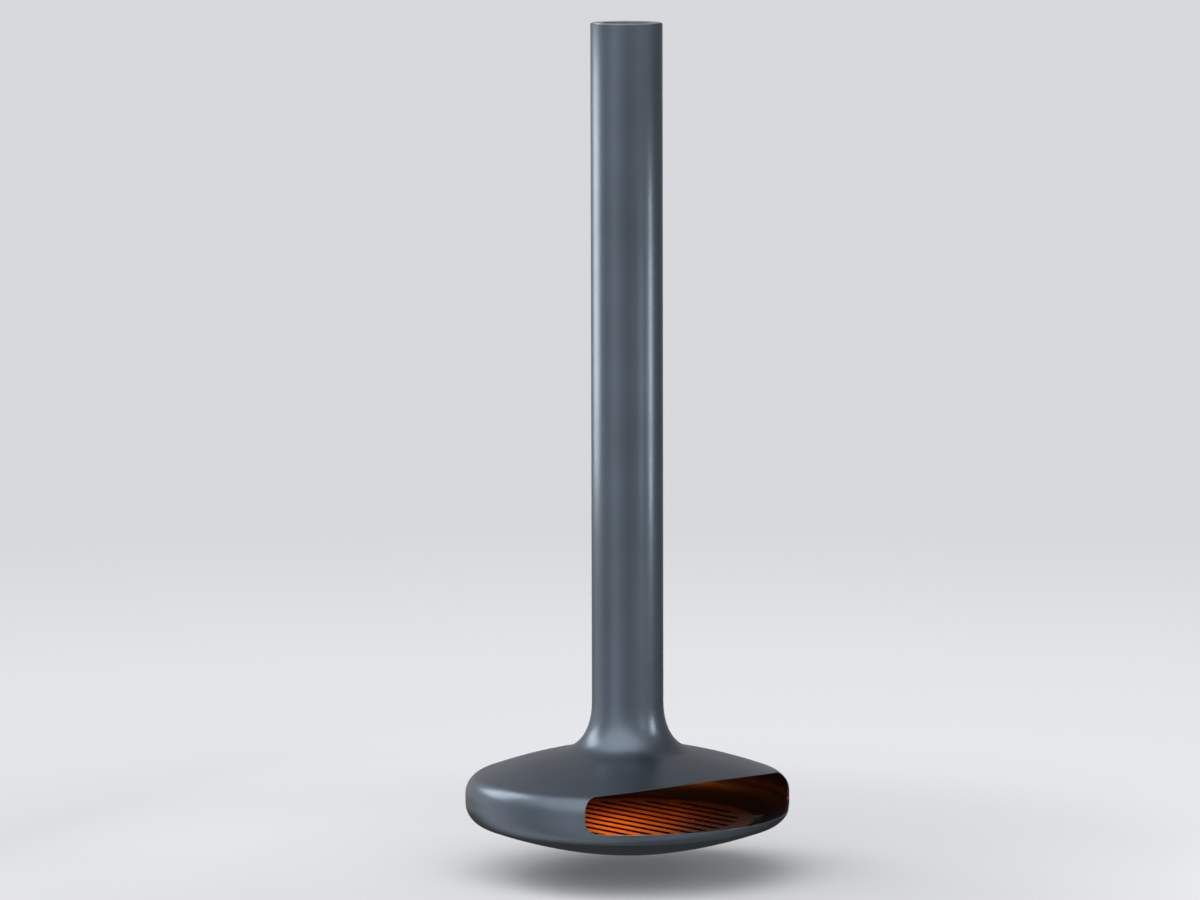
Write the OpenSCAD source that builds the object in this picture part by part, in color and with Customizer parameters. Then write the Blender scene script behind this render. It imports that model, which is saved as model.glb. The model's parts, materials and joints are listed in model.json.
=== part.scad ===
// Open hearth that hangs from the ceiling on its flue and turns about it.
// Millimetres, +Z up. The origin is the centre of the ceiling plate's top face.
// The mouth of the hearth faces -Y.

/* [Hearth body] */
// Drop from the ceiling to the seam round the hearth's rim
drop_h = 2977; // [2200:1:3600]
// Diameter over the rim
hearth_d = 1250; // [1100:1:1400]
// Height of the straight band at the rim
band_h = 34; // [24:1:60]
// Thickness of the hood and bowl sheet
shell_t = 4; // [2:0.5:6]
// Radius of the hood's shoulder
hood_edge_r = 80; // [60:1:110]
// Slope of the hood where its shoulder ends, in degrees
hood_edge_slope = 20.2; // [17:0.1:25]
// Slope of the hood where its flare begins, in degrees
hood_neck_slope = 11.5; // [8:0.1:14]
// Radius of the bowl's shoulder
bowl_edge_r = 86; // [70:1:110]
// Slope of the bowl where its shoulder ends, in degrees
bowl_edge_slope = 20.4; // [18:0.1:25]
// Slope of the bowl where its flat base begins, in degrees
bowl_base_slope = 10.4; // [8:0.1:14]
// Diameter of the flat base
base_d = 471; // [380:1:560]
// Height of the ring that backs the seam
backing_h = 24; // [12:1:24]
// Thickness of the ring that backs the seam
backing_t = 4; // [2:0.5:6]

/* [Flue] */
// Outside diameter of the flue sleeve
sleeve_d = 275; // [270:1:310]
// Thickness of the flue sleeve
sleeve_t = 2; // [1:0.5:2.5]
// Diameter at which the flare leaves the hood
flare_d = 518; // [440:1:600]
// Height of the flare
flare_h = 194; // [150:1:260]
// Height of the straight neck above the flare
neck_h = 40; // [25:1:80]
// Outside diameter of the smoke liner
liner_d = 203; // [196:1:206]
// Thickness of the smoke liner
liner_t = 2; // [1:0.5:2.5]
// Thickness of the coupling collar
collar_t = 2; // [1.5:0.5:4]
// Number of spacer rings between liner and sleeve
spacer_count = 3; // [2:1:6]
// Thickness of a spacer ring
spacer_t = 3; // [2:0.5:6]
// Number of holes in a spacer ring
spacer_hole_count = 8; // [6:1:10]
// Thickness of the throat ring
throat_t = 6; // [4:0.5:10]
// Height of the throat gussets
gusset_h = 50; // [30:1:80]
// Thickness of a throat gusset
gusset_t = 4; // [3:0.5:8]
// Number of throat gussets
gusset_count = 6; // [3:1:8]

/* [Mouth] */
// Width of the mouth
mouth_w = 1026; // [900:1:1050]
// Depth of the mouth's sill below the rim seam
mouth_sill = 51; // [35:1:55]
// Height of the mouth's head above the rim seam, at mid width
mouth_head = 122; // [100:1:122]
// Radius of the arched head
mouth_arch_r = 3590; // [2800:10:8000]
// Radius of the upper corners
mouth_high_corner_r = 70; // [40:1:70]
// Radius of the lower corners
mouth_low_corner_r = 46; // [30:1:48]
// Thickness of the strip that lines the mouth
frame_t = 4; // [2:0.5:6]
// Depth of that strip behind the outer surface
frame_depth = 8; // [6:0.5:14]

/* [Hearth plate] */
// Distance from the rim in to the edge of the slotted plate
plate_inset = 134; // [127:1:157]
// Thickness of the slotted plate
plate_t = 6; // [4:0.5:10]
// Depth of the plate's top face below the rim seam
plate_drop = 84; // [76:1:90]
// Width of a slot
slot_w = 25; // [15:1:35]
// Number of slots
slot_count = 12; // [4:2:12]
// Distance from the plate's edge in to the field that the slots fill
slot_margin = 71; // [58:1:92]
// Distance from that field's edge to the middle of the outer slots
slot_end_gap = 26.75; // [20:0.25:40]

/* [Ash pan] */
// Distance that the plate reaches past the pan's flange
plate_lap = 17; // [10:1:20]
// Thickness of the pan's sheet
pan_t = 3; // [2:0.5:4]
// Width of the pan's flange
pan_flange_w = 34; // [20:1:36]
// Height of the pan's straight wall
pan_wall_h = 28; // [15:1:32]
// Width of the pan's sloping part
pan_slope_w = 140; // [110:1:180]
// Gap between the edge of the pan's flat floor and the bowl
pan_edge_gap = 13; // [8:1:24]
// Inside width of a pan handle
handle_w = 110; // [90:1:140]
// Gap between a pan handle and the plate above it
handle_clear = 16; // [8:1:26]
// Diameter of a pan handle's rod
handle_rod_d = 8; // [6:0.5:10]
// Width of the ledge that carries the pan
ledge_w = 32; // [24:1:36]
// Thickness of the ledge
ledge_t = 5; // [3:0.5:8]
// Number of brackets under the ledge
bracket_count = 8; // [6:1:12]
// Thickness of a bracket
bracket_t = 6; // [4:0.5:10]

/* [Damper] */
// Height of the damper's spindle above the neck
damper_rise = 92; // [80:1:200]
// Running gap round the damper flap
flap_gap = 2.5; // [1.5:0.5:6]
// Thickness of the flap
flap_t = 3; // [2:0.5:5]
// Diameter of the spindle
spindle_d = 12; // [10:0.5:14]
// Wall of the flap's hub and of the bushes
bush_t = 4; // [3:0.5:5]
// Length of the crank, from spindle to pin
crank_l = 40; // [34:1:50]
// Thickness of the crank
crank_t = 6; // [4:0.5:10]
// Diameter of the crank's pin
pin_d = 6; // [5:0.5:8]
// Diameter of the pull rod
rod_d = 8; // [6:0.5:8]
// Diameter of the pull knob
knob_d = 30; // [24:1:36]
// Length of the pull knob
knob_l = 36; // [28:1:50]
// Height of the knob's lower end above the rim seam
knob_rise = 90; // [85:1:140]

/* [Turning bearing] */
// Diameter of the ring of balls
race_d = 226; // [220:1:228]
// Diameter of a ball
ball_d = 10; // [8:0.5:10]
// Number of balls
ball_count = 24; // [12:1:36]
// Distance of each race's face from the ball centres
race_lip = 1.5; // [1.5:0.1:2]
// Thickness of the fixed bearing seat
seat_t = 10; // [8:0.5:16]
// Thickness of the turning ring
turning_t = 12; // [8:0.5:18]
// Length of the drop tube
drop_tube_h = 90; // [80:1:140]
// Wall of the drop tube
drop_tube_t = 4; // [3:0.5:5]
// Width of the drop tube's flange outside its wall
drop_flange_w = 8; // [8:0.5:9]
// Thickness of that flange
drop_flange_t = 6; // [5:0.5:10]
// Number of screws through the bearing seat
screw_count = 8; // [4:1:12]
// Diameter of those screws
screw_d = 5; // [4:0.5:5]
// Height of the guide ring
guide_h = 10; // [6:0.5:16]

/* [Ceiling fixing] */
// Thickness of the ceiling plate
ceiling_t = 8; // [6:0.5:12]
// Gap between the ceiling plate's rim and the sleeve
ceiling_gap = 4.5; // [3:0.5:6]
// Gap between the sleeve's top edge and the ceiling
sleeve_top_gap = 3; // [1:0.5:8]
// Diameter of the circle of ceiling bolts
bolt_pcd = 222; // [216:1:222]
// Diameter of a ceiling bolt hole
bolt_hole_d = 11; // [9:0.5:12]
// Number of ceiling bolts
bolt_count = 6; // [4:1:8]
// Bore of the flue outlet
outlet_bore_d = 180.8; // [174:0.1:182]
// Depth of the flue outlet's bore
outlet_bore_h = 120; // [80:1:140]
// Wall of the flue outlet
outlet_t = 2; // [1.5:0.5:2.5]
// Width of the stop bead at the bore's end
stop_w = 4; // [2:0.5:8]
// Height of the stop bead
stop_h = 3; // [2:0.5:6]
// Gap between the ceiling plate and the liner's top edge
liner_top_gap = 22; // [10:1:30]
// Distance of the rope seal below the liner's top edge
rope_drop = 30; // [20:1:40]
// Thickness of the beads above and below the rope seal
bead_t = 2; // [1.5:0.5:4]

/* [Hidden] */
$fn = 96;
overrun = 5;
// Gap between fixed pieces that are welded or pressed together
joint_gap = 0.1;
// Gap between a pan or plate and what it rests on
rest_gap = 0.2;
// Gap between turning pieces that are not a shaft and its bore
running_gap = 0.3;
// Gap between a shaft and its bore, on the radius
shaft_gap = 0.05;

// Colours
painted_steel = "#5b646c";
dark_steel = "#2e2c2a";
bare_steel = "#8e9296";
cast_iron = "#3a3735";
bronze = "#a97c3f";
mineral_rope = "#c9c3b4";
graphite = "#3c3f42";

// Steps along each curve of the outline
shoulder_steps = 10;
dome_steps = 8;
flare_steps = 14;
arch_steps = 12;
corner_steps = 8;

// Hearth body
rim_r = hearth_d / 2;
rim_z = -drop_h;
sleeve_r = sleeve_d / 2;
sleeve_in_r = sleeve_r - sleeve_t;
neck_in_r = sleeve_r - shell_t;
flare_r = flare_d / 2;
base_r = base_d / 2;
// Lengths of the flare's two handles, as shares of its width and height
flare_run_share = 0.672;
flare_rise_share = 0.557;

hood_edge = [rim_r - hood_edge_r, rim_z + band_h / 2];
hood_start = hood_edge + hood_edge_r * slope_normal(hood_edge_slope);
dome_r = (hood_start[0] - flare_r) / (sin(hood_edge_slope) - sin(hood_neck_slope));
dome_centre = hood_start - dome_r * slope_normal(hood_edge_slope);
flare_start = dome_centre + dome_r * slope_normal(hood_neck_slope);
flare_end = flare_start + [sleeve_r - flare_r, flare_h];
neck_top_z = flare_end[1] + neck_h;
flare_run = (flare_r - sleeve_r) * flare_run_share;
flare_rise = flare_h * flare_rise_share;

bowl_edge = [rim_r - bowl_edge_r, rim_z - band_h / 2];
bowl_start = bowl_edge + bowl_edge_r * flip(slope_normal(bowl_edge_slope));
bowl_dome_r = (bowl_start[0] - base_r) / (sin(bowl_edge_slope) - sin(bowl_base_slope));
bowl_centre = bowl_start - bowl_dome_r * flip(slope_normal(bowl_edge_slope));
base_z = bowl_centre[1] - bowl_dome_r * cos(bowl_base_slope);

// Mouth
arch_centre = [0, mouth_head - mouth_arch_r];
high_corner_x = mouth_w / 2 - mouth_high_corner_r;
high_corner_reach = mouth_arch_r - mouth_high_corner_r;
high_corner_z = arch_centre[1] + sqrt(pow(high_corner_reach, 2) - pow(high_corner_x, 2));
// Direction, from the arch's centre, in which the head meets the upper corner
head_from = acos(high_corner_x / high_corner_reach);
low_corner = [mouth_w / 2 - mouth_low_corner_r, mouth_low_corner_r - mouth_sill];

// Hearth plate, pan and ledge, from the top down
plate_r = rim_r - plate_inset;
plate_z = rim_z - plate_drop - plate_t;
slot_field_r = plate_r - slot_margin;
slot_pitch = 2 * (slot_field_r - slot_end_gap) / (slot_count - 1);
pan_flange_z = plate_z - rest_gap - pan_t;
ledge_z = pan_flange_z - rest_gap - ledge_t;
pan_flange_r = plate_r - plate_lap;
pan_wall_r = pan_flange_r - pan_flange_w;
pan_floor_r = pan_wall_r - pan_slope_w;
pan_floor_z = bowl_height(pan_floor_r) + shell_t + pan_edge_gap;
ledge_gap = 6;
ledge_in_r = pan_wall_r + ledge_gap;
ledge_out_r = ledge_in_r + ledge_w;
bracket_in_r = ledge_in_r + ledge_gap;
handle_rod_r = handle_rod_d / 2;
handle_bend_r = handle_rod_d * 2;
handle_x = pan_floor_r - handle_rod_d * 2;
handle_low_z = pan_floor_z + pan_t + joint_gap;
handle_h = plate_z - handle_clear - handle_low_z;

// Liner, throat and collar
liner_r = liner_d / 2;
liner_in_r = liner_r - liner_t;
liner_top_z = -ceiling_t - liner_top_gap;
liner_low_z = flare_end[1] - gusset_h;
throat_z = flare_end[1];
collar_z = throat_z + throat_t;
collar_top_z = neck_top_z + neck_h - throat_t;
collar_in_r = neck_in_r - joint_gap - collar_t;
spacer_in_r = liner_r + joint_gap;
spacer_out_r = sleeve_in_r - joint_gap;
spacer_mid_r = (spacer_in_r + spacer_out_r) / 2;
spacer_hole_share = 0.3;
spacer_hole_r = (spacer_out_r - spacer_in_r) * spacer_hole_share;

// Damper
damper_z = neck_top_z + damper_rise;
spindle_r = spindle_d / 2;
flap_r = liner_in_r - flap_gap;
hub_r = spindle_r + shaft_gap + bush_t;
hub_l = 2 * flap_r - bush_t;
bush_l = 3 * bush_t;
bush_in_x = liner_in_r - joint_gap;
bush_out_x = liner_r + bush_l;
bush_collar_r = hub_r + bush_t;
spindle_head_t = bush_t;
spindle_head_x = bush_out_x + running_gap;
pin_r = pin_d / 2;
rod_r = rod_d / 2;
lug_r = pin_r + bush_t;
crank_h = 2 * pin_r + bush_t;
cheek_t = bush_t;
cheek_x = crank_t / 2 + running_gap;
fork_out_x = cheek_x + cheek_t;
fork_drop = lug_r + bush_t;
fork_bridge_h = 2 * bush_t;
pin_head_r = pin_r + bush_t / 2;
pin_head_t = bush_t / 2;
knob_z = rim_z + knob_rise;
knob_top_z = knob_z + knob_l;
knob_bore_share = 0.6;
knob_waist_share = 0.6;
knob_bore_l = knob_l * knob_bore_share;

// Turning bearing
race_r = race_d / 2;
ball_r = ball_d / 2;
// Step from the guide ring in to the drop tube's flange
guide_step = 2;
drop_flange_out_r = sleeve_in_r - running_gap - guide_step;
drop_tube_out_r = drop_flange_out_r - drop_flange_w;
drop_tube_in_r = drop_tube_out_r - drop_tube_t;
seat_top_z = -ceiling_t - drop_tube_h;
ball_z = seat_top_z + race_lip;
seat_clear = 2.5;
seat_in_r = liner_r + seat_clear;
turning_clear = 1;
turning_in_r = liner_r + joint_gap;
turning_out_r = drop_tube_in_r - turning_clear;
cage_t = race_lip;
cage_w = ball_d + 2 * cage_t;
screw_ring_r = drop_tube_out_r + drop_flange_w / 2;
screw_r = screw_d / 2;
screw_head_r = screw_d * 0.8;
screw_head_t = screw_d;
screw_tip = 2;

// Flue outlet and its seal
outlet_r = outlet_bore_d / 2;
outlet_out_r = outlet_r + outlet_t;
outlet_h = outlet_bore_h + stop_h;
rope_in_r = outlet_out_r + joint_gap;
rope_out_r = liner_in_r - running_gap;
rope_r = (rope_out_r - rope_in_r) / 2;
rope_mid_r = (rope_out_r + rope_in_r) / 2;
rope_z = liner_top_z - rope_drop;
bead_share = 0.75;
bead_out_r = outlet_out_r + (liner_in_r - outlet_out_r) * bead_share;

// Height of the bowl's outside at a radius
function bowl_height(r) =
    bowl_centre[1] - sqrt(pow(bowl_dome_r, 2) - pow(max(r, base_r) - bowl_centre[0], 2));
// Outward normal of a surface that falls outward at a slope
function slope_normal(slope) = [sin(slope), cos(slope)];
// Mirrors a point of an outline top to bottom
function flip(p) = [p[0], -p[1]];
function unit(v) = v / norm(v);
function tail(list) = [for (i = [1:len(list) - 1]) list[i]];
function reversed(list) = [for (i = [len(list) - 1:-1:0]) list[i]];
// Points along an arc, both ends included
function arc_points(centre, r, from, to, steps) = [
    for (i = [0:steps])
        let (a = from + (to - from) * i / steps)
        centre + r * [cos(a), sin(a)]
];
// A point along a cubic curve
function cubic(a, b, c, d, t) =
    pow(1 - t, 3) * a + 3 * pow(1 - t, 2) * t * b + 3 * (1 - t) * t * t * c + pow(t, 3) * d;
// Normal of one run of an outline, to its left for side 1 and to its right for side -1
function run_normal(path, i, side) =
    let (d = unit(path[i + 1] - path[i]))
    side * [-d[1], d[0]];
// The outline moved sideways by a distance, with mitred corners
function beside(path, distance, side) = [
    for (i = [0:len(path) - 1])
        let (before = run_normal(path, max(i - 1, 0), side))
        let (after = run_normal(path, min(i, len(path) - 2), side))
        let (n = unit(before + after))
        path[i] + distance * n / (n * after)
];
// The closed outline of a sheet that follows a path
function sheet(path, thickness, side) = concat(path, reversed(beside(path, thickness, side)));

// Outside of the hood, from the rim seam up to the top of the neck
hood_path = concat(
    [[rim_r, rim_z]],
    arc_points(hood_edge, hood_edge_r, 0, 90 - hood_edge_slope, shoulder_steps),
    tail(arc_points(dome_centre, dome_r, 90 - hood_edge_slope, 90 - hood_neck_slope, dome_steps)),
    [for (i = [1:flare_steps])
        cubic(
            flare_start,
            flare_start + flare_run * [-cos(hood_neck_slope), sin(hood_neck_slope)],
            flare_end - [0, flare_rise],
            flare_end,
            i / flare_steps
        )],
    [[sleeve_r, neck_top_z]]
);
// Outside of the bowl, from the rim seam down to the middle of the base
bowl_path = concat(
    [[rim_r, rim_z]],
    arc_points(bowl_edge, bowl_edge_r, 0, bowl_edge_slope - 90, shoulder_steps),
    tail(arc_points(bowl_centre, bowl_dome_r, bowl_edge_slope - 90, bowl_base_slope - 90, dome_steps)),
    [[0, base_z]]
);
// Underside of the ash pan, from the rim of its flange to its middle
pan_path = [
    [pan_flange_r, pan_flange_z],
    [pan_wall_r, pan_flange_z],
    [pan_wall_r, pan_flange_z - pan_wall_h],
    [pan_floor_r, pan_floor_z],
    [0, pan_floor_z]
];

// Outline of the mouth seen from the front, drawn in by an inset
function mouth_outline(inset) =
    let (high_r = mouth_high_corner_r - inset)
    let (low_r = mouth_low_corner_r - inset)
    concat(
        arc_points(low_corner, low_r, -90, 0, corner_steps),
        arc_points([high_corner_x, high_corner_z], high_r, 0, head_from, corner_steps),
        tail(arc_points(arch_centre, mouth_arch_r - inset, head_from, 180 - head_from, arch_steps)),
        tail(arc_points([-high_corner_x, high_corner_z], high_r, 180 - head_from, 180, corner_steps)),
        arc_points([-low_corner[0], low_corner[1]], low_r, 180, 270, corner_steps)
    );

module tube(r_out, r_in, z_low, z_high) {
    translate([0, 0, z_low])
        difference() {
            cylinder(r = r_out, h = z_high - z_low);
            translate([0, 0, -overrun])
                cylinder(r = r_in, h = z_high - z_low + 2 * overrun);
        }
}

// Copies a shape round the Z axis
module around(count, start = 0) {
    for (i = [0:count - 1])
        rotate([0, 0, start + 360 * i / count])
            children();
}

// Copies a shape on both sides of the YZ plane
module both_sides() {
    children();
    mirror([1, 0, 0])
        children();
}

// A rod along X, centred on its middle
module cross_rod(r, length) {
    rotate([0, 90, 0])
        cylinder(r = r, h = length, center = true);
}

// The space in front of the hearth that the mouth cuts away
module mouth_prism(inset, extra = 0) {
    translate([0, extra, rim_z])
        rotate([90, 0, 0])
            linear_extrude(height = rim_r + overrun + 2 * extra)
                polygon(mouth_outline(inset));
}

// The space inside the bowl's sheet
module bowl_inside() {
    rotate_extrude()
        polygon(concat(beside(bowl_path, shell_t + joint_gap, -1), [[0, rim_z]]));
}

module race_groove(gap) {
    rotate_extrude()
        translate([race_r, ball_z])
            circle(r = ball_r + gap);
}

module ceiling_plate() {
    color(bare_steel)
        difference() {
            tube(sleeve_in_r - ceiling_gap, outlet_out_r + joint_gap, -ceiling_t, 0);
            around(bolt_count)
                translate([bolt_pcd / 2, 0, -ceiling_t - overrun])
                    cylinder(d = bolt_hole_d, h = ceiling_t + 2 * overrun);
        }
}

module outlet_socket() {
    color(bare_steel) {
        tube(outlet_out_r, outlet_r, -outlet_h, 0);
        tube(outlet_out_r, outlet_r - stop_w, -outlet_h, -outlet_bore_h);
        for (side = [-1, 1])
            translate([0, 0, rope_z + side * (rope_r + joint_gap + bead_t / 2)])
                tube(bead_out_r, outlet_r, -bead_t / 2, bead_t / 2);
    }
}

module rope_seal() {
    color(mineral_rope)
        rotate_extrude()
            translate([rope_mid_r, rope_z])
                circle(r = rope_r);
}

module drop_tube() {
    color(bare_steel)
        difference() {
            union() {
                tube(drop_tube_out_r, drop_tube_in_r, seat_top_z, -ceiling_t);
                tube(drop_flange_out_r, drop_tube_in_r, seat_top_z, seat_top_z + drop_flange_t);
            }
            around(screw_count)
                translate([screw_ring_r, 0, seat_top_z - overrun])
                    cylinder(r = screw_r + shaft_gap, h = drop_flange_t + 2 * overrun);
        }
}

module bearing_seat() {
    color(bare_steel)
        difference() {
            tube(drop_flange_out_r, seat_in_r, seat_top_z - seat_t, seat_top_z);
            race_groove(joint_gap);
            around(screw_count)
                translate([screw_ring_r, 0, seat_top_z - seat_t - overrun])
                    cylinder(r = screw_r + joint_gap, h = seat_t + 2 * overrun);
        }
}

module seat_screws() {
    color(bare_steel)
        around(screw_count)
            translate([screw_ring_r, 0, seat_top_z - seat_t]) {
                cylinder(r = screw_r, h = seat_t + drop_flange_t - screw_tip);
                translate([0, 0, -screw_head_t])
                    cylinder(r = screw_head_r, h = screw_head_t);
            }
}

module bearing_balls() {
    color(bare_steel)
        around(ball_count)
            translate([race_r, 0, ball_z])
                sphere(r = ball_r);
}

module ball_cage() {
    color(bronze)
        difference() {
            tube(race_r + cage_w / 2, race_r - cage_w / 2, ball_z - cage_t / 2, ball_z + cage_t / 2);
            around(ball_count)
                translate([race_r, 0, ball_z - overrun])
                    cylinder(r = ball_r + joint_gap, h = 2 * overrun);
        }
}

module guide_ring() {
    color(graphite)
        tube(
            sleeve_in_r - running_gap,
            drop_tube_out_r + joint_gap,
            seat_top_z + drop_flange_t,
            seat_top_z + drop_flange_t + guide_h
        );
}

module turning_ring() {
    color(bare_steel)
        difference() {
            tube(turning_out_r, turning_in_r, ball_z + race_lip, ball_z + race_lip + turning_t);
            race_groove(running_gap);
        }
}

module flue_liner() {
    color(dark_steel)
        difference() {
            tube(liner_r, liner_in_r, liner_low_z, liner_top_z);
            translate([0, 0, damper_z])
                cross_rod(hub_r + shaft_gap, 2 * liner_r + overrun);
        }
}

module spacer_rings() {
    spacer_top_z = seat_top_z - seat_t - screw_head_t;
    spacer_low_z = damper_z + bush_collar_r;
    color(bare_steel)
        for (i = [1:spacer_count])
            translate([0, 0, spacer_low_z + (spacer_top_z - spacer_low_z) * i / (spacer_count + 1)])
                difference() {
                    tube(spacer_out_r, spacer_in_r, 0, spacer_t);
                    around(spacer_hole_count)
                        translate([spacer_mid_r, 0, -overrun])
                            cylinder(r = spacer_hole_r, h = spacer_t + 2 * overrun);
                }
}

module flue_sleeve() {
    color(painted_steel)
        tube(sleeve_r, sleeve_in_r, neck_top_z, -sleeve_top_gap);
}

module coupling_collar() {
    color(dark_steel) {
        tube(neck_in_r - joint_gap, collar_in_r, collar_z, collar_top_z);
        tube(sleeve_in_r - joint_gap, collar_in_r, neck_top_z, collar_top_z);
    }
}

module throat_ring() {
    color(dark_steel)
        tube(neck_in_r - joint_gap, liner_r + joint_gap, throat_z, throat_z + throat_t);
}

module throat_gussets() {
    gusset_in_r = liner_r + joint_gap;
    gusset_out_r = neck_in_r - joint_gap;
    gusset_toe_share = 0.3;
    color(dark_steel)
        around(gusset_count, 90)
            rotate([90, 0, 0])
                translate([0, 0, -gusset_t / 2])
                    linear_extrude(height = gusset_t)
                        polygon([
                            [gusset_in_r, throat_z - gusset_h],
                            [gusset_in_r + (gusset_out_r - gusset_in_r) * gusset_toe_share, throat_z - gusset_h],
                            [gusset_out_r, throat_z - gusset_h * gusset_toe_share],
                            [gusset_out_r, throat_z],
                            [gusset_in_r, throat_z]
                        ]);
}

module damper_bushes() {
    color(bronze)
        translate([0, 0, damper_z])
            both_sides()
                difference() {
                    union() {
                        translate([bush_in_x, 0, 0])
                            rotate([0, 90, 0])
                                cylinder(r = hub_r, h = bush_out_x - bush_in_x);
                        translate([liner_r + joint_gap, 0, 0])
                            rotate([0, 90, 0])
                                cylinder(r = bush_collar_r, h = bush_t);
                    }
                    translate([bush_in_x - overrun, 0, 0])
                        rotate([0, 90, 0])
                            cylinder(r = spindle_r + shaft_gap, h = bush_out_x - bush_in_x + 2 * overrun);
                }
}

module hood_shell() {
    color(painted_steel)
        difference() {
            rotate_extrude()
                polygon(sheet(hood_path, shell_t, 1));
            mouth_prism(0);
        }
}

module bowl_shell() {
    color(painted_steel)
        difference() {
            rotate_extrude()
                polygon(sheet(bowl_path, shell_t, -1));
            mouth_prism(0);
        }
}

module rim_backing_ring() {
    backing_out_r = rim_r - shell_t - joint_gap;
    color(dark_steel)
        difference() {
            tube(backing_out_r, backing_out_r - backing_t, rim_z - backing_h / 2, rim_z + backing_h / 2);
            mouth_prism(0);
        }
}

// The strip takes its front edge from the outside of the hood and bowl
module mouth_frame() {
    color(painted_steel)
        intersection() {
            difference() {
                mouth_prism(0);
                mouth_prism(frame_t, overrun);
            }
            rotate_extrude()
                polygon(concat(
                    reversed(bowl_path),
                    tail(hood_path),
                    reversed(beside(hood_path, frame_depth, 1)),
                    tail(beside(bowl_path, frame_depth, -1))
                ));
        }
}

module support_ring() {
    color(dark_steel)
        tube(ledge_out_r, ledge_in_r, ledge_z, ledge_z + ledge_t);
}

module support_brackets() {
    color(dark_steel)
        intersection() {
            around(bracket_count, 180 / bracket_count)
                translate([bracket_in_r, -bracket_t / 2, base_z])
                    cube([rim_r - bracket_in_r, bracket_t, ledge_z - base_z]);
            bowl_inside();
        }
}

module damper_flap() {
    color(cast_iron)
        translate([0, 0, damper_z])
            difference() {
                union() {
                    rotate([90, 0, 0])
                        cylinder(r = flap_r, h = flap_t, center = true);
                    cross_rod(hub_r, hub_l);
                    translate([-crank_t / 2, -crank_l, -crank_h / 2])
                        cube([crank_t, crank_l, crank_h]);
                    translate([0, -crank_l, 0])
                        cross_rod(lug_r, crank_t);
                }
                cross_rod(spindle_r + shaft_gap, 2 * liner_r);
                translate([0, -crank_l, 0])
                    cross_rod(pin_r + shaft_gap, crank_t + 2 * overrun);
            }
}

module damper_spindle() {
    color(bare_steel)
        translate([0, 0, damper_z]) {
            cross_rod(spindle_r, 2 * spindle_head_x);
            both_sides()
                translate([spindle_head_x, 0, 0])
                    rotate([0, 90, 0])
                        cylinder(r = spindle_r + bush_t / 2, h = spindle_head_t);
        }
}

module rod_pin() {
    color(bare_steel)
        translate([0, -crank_l, damper_z]) {
            cross_rod(pin_r, 2 * (fork_out_x + joint_gap));
            both_sides()
                translate([fork_out_x + joint_gap, 0, 0])
                    rotate([0, 90, 0])
                        cylinder(r = pin_head_r, h = pin_head_t);
        }
}

module damper_rod() {
    color(bare_steel)
        translate([0, -crank_l, damper_z])
            difference() {
                union() {
                    both_sides() {
                        translate([cheek_x, 0, 0])
                            rotate([0, 90, 0])
                                cylinder(r = lug_r, h = cheek_t);
                        translate([cheek_x, -lug_r, -fork_drop - fork_bridge_h])
                            cube([cheek_t, 2 * lug_r, fork_drop + fork_bridge_h]);
                    }
                    translate([-fork_out_x, -lug_r, -fork_drop - fork_bridge_h])
                        cube([2 * fork_out_x, 2 * lug_r, fork_bridge_h]);
                    translate([0, 0, knob_top_z - knob_bore_l - damper_z])
                        cylinder(r = rod_r, h = damper_z - knob_top_z + knob_bore_l - fork_drop - fork_bridge_h / 2);
                }
                cross_rod(pin_r + shaft_gap, 2 * fork_out_x + 2 * overrun);
            }
}

module damper_knob() {
    knob_r = knob_d / 2;
    knob_neck_r = knob_r * knob_waist_share;
    color(cast_iron)
        translate([0, -crank_l, knob_z])
            difference() {
                rotate_extrude()
                    polygon(concat(
                        [[0, 0]],
                        arc_points([knob_r - rod_r, rod_r], rod_r, -90, 0, corner_steps),
                        [[knob_r, knob_l / 2], [knob_neck_r, knob_l], [0, knob_l]]
                    ));
                translate([0, 0, knob_l - knob_bore_l - joint_gap])
                    cylinder(r = rod_r + joint_gap, h = knob_bore_l + overrun);
            }
}

module ash_pan() {
    color(dark_steel)
        rotate_extrude()
            polygon(sheet(pan_path, pan_t, -1));
}

// One end of a handle: a leg and the bend above it
module handle_end() {
    translate([0, handle_w / 2 + handle_rod_r, 0])
        cylinder(r = handle_rod_r, h = handle_h - handle_rod_r - handle_bend_r);
    translate([0, handle_w / 2 + handle_rod_r - handle_bend_r, handle_h - handle_rod_r - handle_bend_r])
        rotate([90, 0, 90])
            rotate_extrude(angle = 90)
                translate([handle_bend_r, 0])
                    circle(r = handle_rod_r);
}

module pan_handles() {
    bar_l = handle_w + handle_rod_d - 2 * handle_bend_r;
    color(bare_steel)
        both_sides()
            translate([handle_x, 0, handle_low_z]) {
                handle_end();
                mirror([0, 1, 0])
                    handle_end();
                translate([0, 0, handle_h - handle_rod_r])
                    rotate([90, 0, 0])
                        cylinder(r = handle_rod_r, h = bar_l, center = true);
            }
}

// Each slot has round ends that reach the edge of the slotted field
module slot(x) {
    half_l = sqrt(pow(slot_field_r, 2) - pow(x, 2)) - slot_w / 2;
    translate([x, 0]) {
        square([slot_w, 2 * half_l], center = true);
        translate([0, half_l])
            circle(d = slot_w);
        translate([0, -half_l])
            circle(d = slot_w);
    }
}

module hearth_plate() {
    color(cast_iron)
        translate([0, 0, plate_z])
            linear_extrude(height = plate_t)
                difference() {
                    circle(r = plate_r);
                    for (i = [0:slot_count - 1])
                        slot((i - (slot_count - 1) / 2) * slot_pitch);
                }
}

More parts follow.
